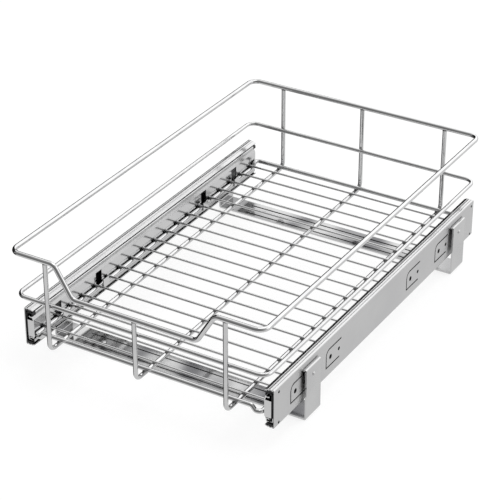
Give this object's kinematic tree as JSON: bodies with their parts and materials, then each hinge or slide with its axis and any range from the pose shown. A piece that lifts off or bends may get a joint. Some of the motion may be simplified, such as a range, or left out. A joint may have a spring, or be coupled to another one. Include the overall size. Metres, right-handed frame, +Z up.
{
  "type": "pull out cabinet basket",
  "caption": "A chrome wire pull-out basket for a kitchen base cabinet, on two full-extension ball slides joined by two steel cross plates that screw to the cabinet floor.",
  "frame": {"origin": "centre of the cross plates' underside footprint, on the cabinet floor, midway between the rims' front and back", "axes": "+X to the right, -Y towards the person who pulls the basket, +Z up"},
  "size_m": [0.3448, 0.533, 0.161],
  "materials": {
    "basket_chrome": "bright plated round steel wire",
    "slide_steel": "zinc plated roll-formed sheet",
    "ball_steel": "polished bearing balls",
    "plate_steel": "bright plated bent sheet",
    "black_plastic": "moulded plastic"
  },
  "bodies": {
    "cabinet_base": {"left_outer_member": "slide_steel", "right_outer_member": "slide_steel", "left_race_bumpers": "black_plastic", "right_race_bumpers": "black_plastic", "front_cross_plate": "plate_steel", "rear_cross_plate": "plate_steel", "plate_rivets": "plate_steel"},
    "basket": {"top_rim_wire": "basket_chrome", "middle_rim_wire": "basket_chrome", "left_upright_wire": "basket_chrome", "centre_upright_wire": "basket_chrome", "right_upright_wire": "basket_chrome", "base_frame_wire": "basket_chrome", "cross_wires": "basket_chrome", "left_inner_member": "slide_steel", "right_inner_member": "slide_steel", "left_front_guide": "black_plastic", "right_front_guide": "black_plastic"},
    "left_middle": {"left_middle_member": "slide_steel", "left_middle_end_caps": "black_plastic"},
    "left_outer_cage": {"left_outer_ball_cage": "black_plastic", "left_outer_balls": "ball_steel"},
    "left_inner_cage": {"left_inner_ball_cage": "black_plastic", "left_inner_balls": "ball_steel"},
    "right_middle": {"right_middle_member": "slide_steel", "right_middle_end_caps": "black_plastic"},
    "right_outer_cage": {"right_outer_ball_cage": "black_plastic", "right_outer_balls": "ball_steel"},
    "right_inner_cage": {"right_inner_ball_cage": "black_plastic", "right_inner_balls": "ball_steel"}
  },
  "joints": [
    {"name": "drawer_slide", "type": "slide", "parent": "cabinet_base", "child": "basket", "axis": [0, -1, 0], "range_m": [0, 0.48]},
    {"name": "left_middle_slide", "type": "slide", "parent": "cabinet_base", "child": "left_middle", "axis": [0, -1, 0], "range_m": [0, 0.24]},
    {"name": "left_outer_cage_slide", "type": "slide", "parent": "cabinet_base", "child": "left_outer_cage", "axis": [0, -1, 0], "range_m": [0, 0.12]},
    {"name": "left_inner_cage_slide", "type": "slide", "parent": "cabinet_base", "child": "left_inner_cage", "axis": [0, -1, 0], "range_m": [0, 0.36]},
    {"name": "right_middle_slide", "type": "slide", "parent": "cabinet_base", "child": "right_middle", "axis": [0, -1, 0], "range_m": [0, 0.24]},
    {"name": "right_outer_cage_slide", "type": "slide", "parent": "cabinet_base", "child": "right_outer_cage", "axis": [0, -1, 0], "range_m": [0, 0.12]},
    {"name": "right_inner_cage_slide", "type": "slide", "parent": "cabinet_base", "child": "right_inner_cage", "axis": [0, -1, 0], "range_m": [0, 0.36]}
  ],
  "couplings": [
    {"joint": "left_middle_slide", "follows": "drawer_slide", "ratio": 0.5},
    {"joint": "left_outer_cage_slide", "follows": "drawer_slide", "ratio": 0.25},
    {"joint": "left_inner_cage_slide", "follows": "drawer_slide", "ratio": 0.75},
    {"joint": "right_middle_slide", "follows": "drawer_slide", "ratio": 0.5},
    {"joint": "right_outer_cage_slide", "follows": "drawer_slide", "ratio": 0.25},
    {"joint": "right_inner_cage_slide", "follows": "drawer_slide", "ratio": 0.75}
  ]
}
